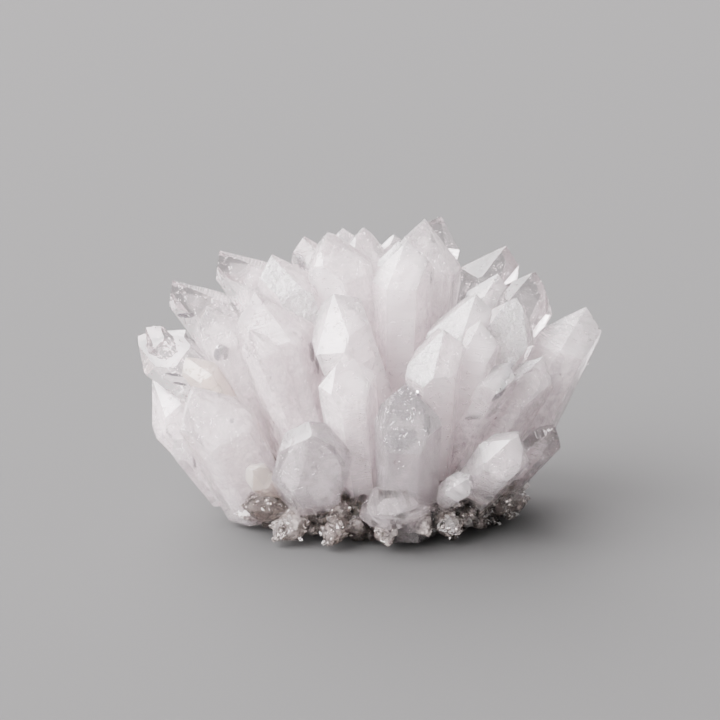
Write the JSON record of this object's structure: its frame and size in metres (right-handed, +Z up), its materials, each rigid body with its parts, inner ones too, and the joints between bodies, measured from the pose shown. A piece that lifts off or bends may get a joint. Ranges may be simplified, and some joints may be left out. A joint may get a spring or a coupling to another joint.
{
  "type": "quartz crystal cluster on matrix",
  "caption": "Free-standing cluster of milky, six-sided quartz points that fan out from a low plate of rock with a druse of small crystals round its rim.",
  "frame": {"origin": "on the flat underside, in the middle of the whole object's width and depth", "axes": "+Z up through the fan of crystals, -Y towards the viewer of the picture, +X to the viewer's right"},
  "size_m": [0.1584, 0.1242, 0.101],
  "materials": {
    "quartz": "milky, glossy faces",
    "matrix": "rough rock with small glassy crystals"
  },
  "bodies": {
    "root": {"crystal_cluster": "quartz", "matrix": "matrix"}
  },
  "joints": []
}
